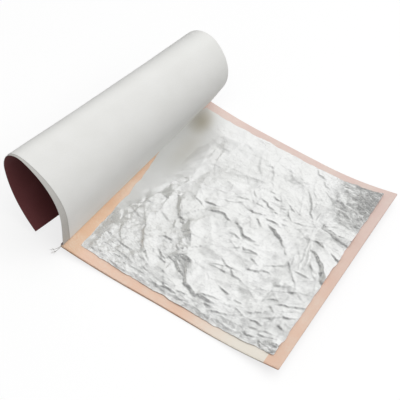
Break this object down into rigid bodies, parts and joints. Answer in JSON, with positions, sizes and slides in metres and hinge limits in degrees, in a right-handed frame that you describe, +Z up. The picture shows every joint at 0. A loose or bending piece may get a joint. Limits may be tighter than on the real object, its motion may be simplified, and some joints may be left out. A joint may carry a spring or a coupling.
{
  "type": "metal leaf booklet",
  "caption": "Square booklet of imitation silver leaf between tinted tissues, bound at the spine and open at the first leaf, with the front cover curled back; sheets turn and the leaf lifts off.",
  "frame": {"origin": "on the flat middle of the back cover's underside, at the centre of the page", "axes": "+Z up from the table, +X from the spine to the fore edge, +Y along the spine away from the viewer"},
  "size_m": [0.1994, 0.1672, 0.072],
  "materials": {
    "cover_card": "uncoated maroon card with a white inner face",
    "guard_paper": "smooth white wove paper",
    "tissue": "thin tissue tinted with peach rouge",
    "silver": "beaten leaf, bright and crinkled",
    "glue": "dried clear padding glue",
    "thread": "undyed cotton thread"
  },
  "bodies": {
    "block": {"back_cover": "cover_card", "spine_glue": "glue", "lower_thread": "thread", "upper_thread": "thread", "tissue_03": "tissue", "tissue_04": "tissue", "tissue_05": "tissue", "tissue_06": "tissue", "tissue_07": "tissue", "tissue_08": "tissue", "tissue_09": "tissue", "tissue_10": "tissue", "tissue_11": "tissue", "tissue_12": "tissue", "tissue_13": "tissue", "tissue_14": "tissue", "tissue_15": "tissue", "tissue_16": "tissue", "tissue_17": "tissue", "tissue_18": "tissue", "tissue_19": "tissue", "tissue_20": "tissue", "tissue_21": "tissue", "tissue_22": "tissue", "tissue_23": "tissue", "tissue_24": "tissue", "tissue_25": "tissue", "silver_leaf_03": "silver", "silver_leaf_04": "silver", "silver_leaf_05": "silver", "silver_leaf_06": "silver", "silver_leaf_07": "silver", "silver_leaf_08": "silver", "silver_leaf_09": "silver", "silver_leaf_10": "silver", "silver_leaf_11": "silver", "silver_leaf_12": "silver", "silver_leaf_13": "silver", "silver_leaf_14": "silver", "silver_leaf_15": "silver", "silver_leaf_16": "silver", "silver_leaf_17": "silver", "silver_leaf_18": "silver", "silver_leaf_19": "silver", "silver_leaf_20": "silver", "silver_leaf_21": "silver", "silver_leaf_22": "silver", "silver_leaf_23": "silver", "silver_leaf_24": "silver", "silver_leaf_25": "silver"},
    "second_page": {"tissue_02": "tissue", "silver_leaf_02": "silver"},
    "first_page": {"tissue_01": "tissue"},
    "loose_leaf": {"silver_leaf_01": "silver"},
    "cover": {"front_cover": "cover_card", "guard_sheet": "guard_paper"}
  },
  "joints": [
    {"name": "second_page_turn", "type": "hinge", "parent": "block", "child": "second_page", "pos_m": [-0.0793, 0, 0.00687], "axis": [0, -1, 0], "range_deg": [0, 15]},
    {"name": "first_page_turn", "type": "hinge", "parent": "second_page", "child": "first_page", "pos_m": [-0.0793, 0, 0.00687], "axis": [0, -1, 0], "range_deg": [0, 20]},
    {"name": "cover_turn", "type": "hinge", "parent": "first_page", "child": "cover", "pos_m": [-0.0793, 0, 0.00687], "axis": [0, -1, 0], "range_deg": [0, 15]},
    {"name": "leaf_lift", "type": "slide", "parent": "first_page", "child": "loose_leaf", "axis": [0.7071, 0, 0.7071], "range_m": [0, 0.18]}
  ]
}
